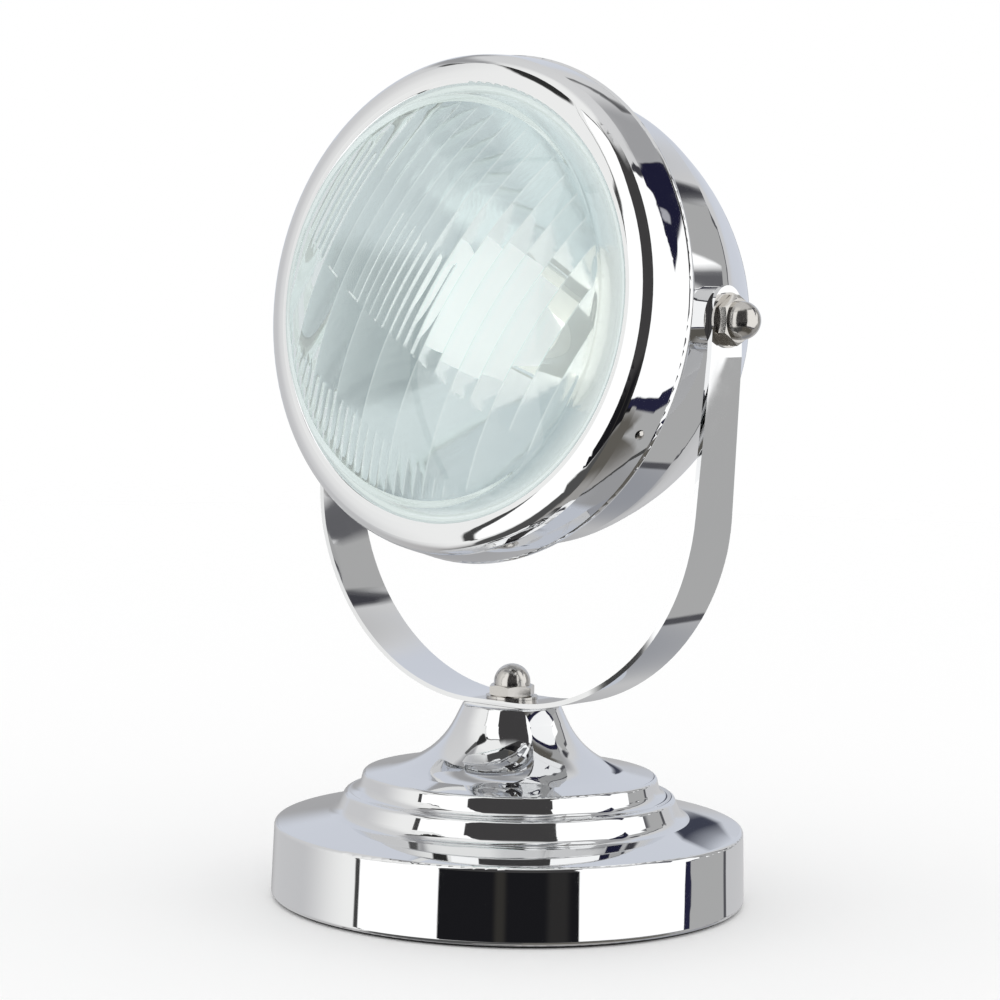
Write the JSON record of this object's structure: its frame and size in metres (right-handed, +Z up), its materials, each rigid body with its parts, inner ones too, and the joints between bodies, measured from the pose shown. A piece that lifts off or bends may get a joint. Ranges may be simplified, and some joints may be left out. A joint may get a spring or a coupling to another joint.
{
  "type": "tabletop searchlight lamp",
  "caption": "Chromed tabletop lamp like a small searchlight: weighted stepped round base, swivelling U-shaped yoke and a tilting round headlamp with a domed fluted lens.",
  "frame": {"origin": "centre of the foot pad's underside, on the surface that the lamp stands on", "axes": "+Z up along the swivel axis, the lens faces -Y, the tilt axis runs along X"},
  "size_m": [0.1914, 0.1685, 0.282],
  "materials": {
    "polished_chrome": "polished",
    "nickel": "polished",
    "zinc_steel": "satin",
    "iron": "as cast",
    "foot_rubber": "matt",
    "black_rubber": "matt",
    "pale_rubber": "matt",
    "fluted_glass": "pressed",
    "frosted_glass": "frosted",
    "bright_aluminium": "mirror bright",
    "holder_plastic": "moulded",
    "cap_brass": "plain"
  },
  "bodies": {
    "base": {"base_shell": "polished_chrome", "base_pad": "foot_rubber", "base_plate": "zinc_steel", "base_ballast": "iron", "base_stud": "zinc_steel", "stud_lock_nut": "zinc_steel", "stud_lock_washer": "zinc_steel", "pedestal_tube": "zinc_steel", "base_washer": "nickel", "base_acorn_nut": "nickel"},
    "yoke": {"yoke_strap": "polished_chrome"},
    "headlamp": {"pivot_studs": "zinc_steel", "pivot_spacers": "polished_chrome", "pivot_washers": "nickel", "pivot_acorn_nuts": "nickel", "pivot_lock_nuts": "zinc_steel", "pivot_lock_washers": "zinc_steel", "headlamp_shell": "polished_chrome", "cord_grommet": "black_rubber", "rim_bezel": "polished_chrome", "rim_screws": "nickel", "rim_nuts": "zinc_steel", "lens_glass": "fluted_glass", "lens_gasket": "pale_rubber", "lens_clips": "zinc_steel", "reflector": "bright_aluminium", "lampholder_body": "holder_plastic", "lampholder_front_ring": "holder_plastic", "lampholder_rear_ring": "holder_plastic", "bulb_cap": "cap_brass", "bulb_glass": "frosted_glass"}
  },
  "joints": [
    {"name": "yoke_swivel", "type": "hinge", "parent": "base", "child": "yoke", "pos_m": [0, 0, 0.0662], "axis": [0, 0, 1], "continuous": true},
    {"name": "head_tilt", "type": "hinge", "parent": "yoke", "child": "headlamp", "pos_m": [0, 0, 0.1966], "axis": [-1, 0, 0], "range_deg": [-26, 85]}
  ]
}
